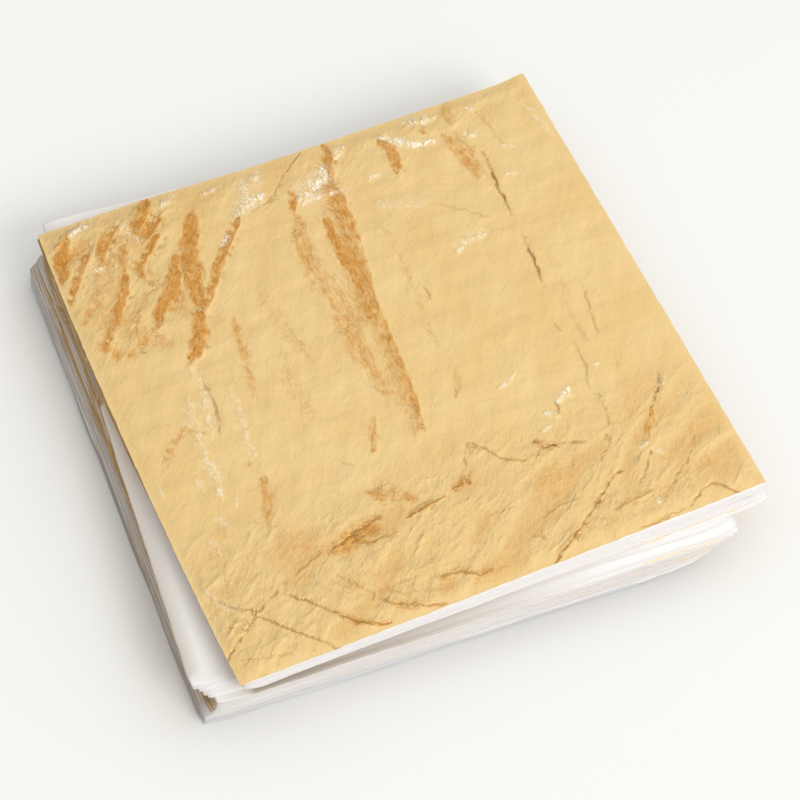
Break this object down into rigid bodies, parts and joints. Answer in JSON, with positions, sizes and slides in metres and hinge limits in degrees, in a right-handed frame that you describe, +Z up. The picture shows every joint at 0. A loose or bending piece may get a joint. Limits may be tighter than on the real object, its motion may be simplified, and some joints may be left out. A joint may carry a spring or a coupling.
{
  "type": "gold leaf stack",
  "caption": "Loose splayed stack of square gold-coloured metal leaf with thin tissue between the leaves, on a base of plain paper.",
  "frame": {"origin": "on the table plane, straight below the middle of the top leaf", "axes": "+X along the top leaf's front edge, +Y towards its back edge, +Z up"},
  "size_m": [0.1541, 0.1551, 0.0205],
  "materials": {
    "metal_leaf": "satin",
    "tissue": "matte",
    "base_paper": "matte"
  },
  "bodies": {
    "base": {"base_sheet": "base_paper", "small_papers_stack": "base_paper", "base_papers": "base_paper", "base_cover_paper": "base_paper"},
    "lower_slip": {"lower_slip_leaf": "metal_leaf", "lower_slip_tissue": "tissue"},
    "lower": {"lower_leaves_a": "metal_leaf", "lower_tissues_a": "tissue", "lower_leaves_b": "metal_leaf", "lower_tissues_b": "tissue", "lower_leaves_c": "metal_leaf", "lower_tissues_c": "tissue"},
    "middle_slip": {"middle_slip_leaf": "metal_leaf", "middle_slip_tissue": "tissue"},
    "middle": {"middle_leaves_a": "metal_leaf", "middle_tissues_a": "tissue", "middle_leaves_b": "metal_leaf", "middle_tissues_b": "tissue", "middle_leaves_c": "metal_leaf", "middle_tissues_c": "tissue", "middle_cover_tissue": "tissue"},
    "ledge_slip": {"ledge_slip_leaf": "metal_leaf", "ledge_slip_tissue": "tissue"},
    "ledge": {"ledge_leaves": "metal_leaf", "ledge_tissues": "tissue", "ledge_cover_tissue": "tissue"},
    "upper_slip": {"upper_slip_leaf": "metal_leaf", "upper_slip_tissue": "tissue"},
    "upper": {"upper_leaves_a": "metal_leaf", "upper_tissues_a": "tissue", "upper_leaves_b": "metal_leaf", "upper_tissues_b": "tissue", "upper_cover_tissue": "tissue"},
    "top_slip": {"top_slip_leaf": "metal_leaf", "top_slip_tissue": "tissue"},
    "top": {"top_leaves_a": "metal_leaf", "top_tissues_a": "tissue", "top_leaves_b": "metal_leaf", "top_tissues_b": "tissue"},
    "third_leaf": {"third_leaf": "metal_leaf"},
    "second_tissue": {"second_tissue": "tissue"},
    "second_leaf": {"second_leaf": "metal_leaf"},
    "top_tissue": {"top_tissue": "tissue"},
    "top_leaf": {"top_leaf": "metal_leaf"}
  },
  "joints": [
    {"name": "lower_swivel", "type": "hinge", "parent": "base", "child": "lower_slip", "pos_m": [0, 0, 0.004], "axis": [0, 0, 1], "range_deg": [-8, 8]},
    {"name": "lower_lift", "type": "slide", "parent": "lower_slip", "child": "lower", "axis": [0, 0, 1], "range_m": [0, 0.05]},
    {"name": "middle_swivel", "type": "hinge", "parent": "lower", "child": "middle_slip", "pos_m": [0, 0, 0.00848], "axis": [0, 0, 1], "range_deg": [-8, 8]},
    {"name": "middle_lift", "type": "slide", "parent": "middle_slip", "child": "middle", "axis": [0, 0, 1], "range_m": [0, 0.05]},
    {"name": "ledge_swivel", "type": "hinge", "parent": "middle", "child": "ledge_slip", "pos_m": [0, 0, 0.01413], "axis": [0, 0, 1], "range_deg": [-8, 8]},
    {"name": "ledge_lift", "type": "slide", "parent": "ledge_slip", "child": "ledge", "axis": [0, 0, 1], "range_m": [0, 0.05]},
    {"name": "upper_swivel", "type": "hinge", "parent": "ledge", "child": "upper_slip", "pos_m": [0, 0, 0.01512], "axis": [0, 0, 1], "range_deg": [-8, 8]},
    {"name": "upper_lift", "type": "slide", "parent": "upper_slip", "child": "upper", "axis": [0, 0, 1], "range_m": [0, 0.05]},
    {"name": "top_swivel", "type": "hinge", "parent": "upper", "child": "top_slip", "pos_m": [0, 0, 0.01745], "axis": [0, 0, 1], "range_deg": [-8, 8]},
    {"name": "top_lift", "type": "slide", "parent": "top_slip", "child": "top", "axis": [0, 0, 1], "range_m": [0, 0.05]},
    {"name": "third_leaf_lift", "type": "slide", "parent": "top", "child": "third_leaf", "axis": [0, 0, 1], "range_m": [0, 0.04]},
    {"name": "second_tissue_lift", "type": "slide", "parent": "third_leaf", "child": "second_tissue", "axis": [0, 0, 1], "range_m": [0, 0.04]},
    {"name": "second_leaf_lift", "type": "slide", "parent": "second_tissue", "child": "second_leaf", "axis": [0, 0, 1], "range_m": [0, 0.04]},
    {"name": "top_tissue_lift", "type": "slide", "parent": "second_leaf", "child": "top_tissue", "axis": [0, 0, 1], "range_m": [0, 0.04]},
    {"name": "top_leaf_peel", "type": "hinge", "parent": "top_tissue", "child": "top_leaf", "pos_m": [0, 0.07, 0.02048], "axis": [-1, 0, 0], "range_deg": [0, 150]}
  ]
}
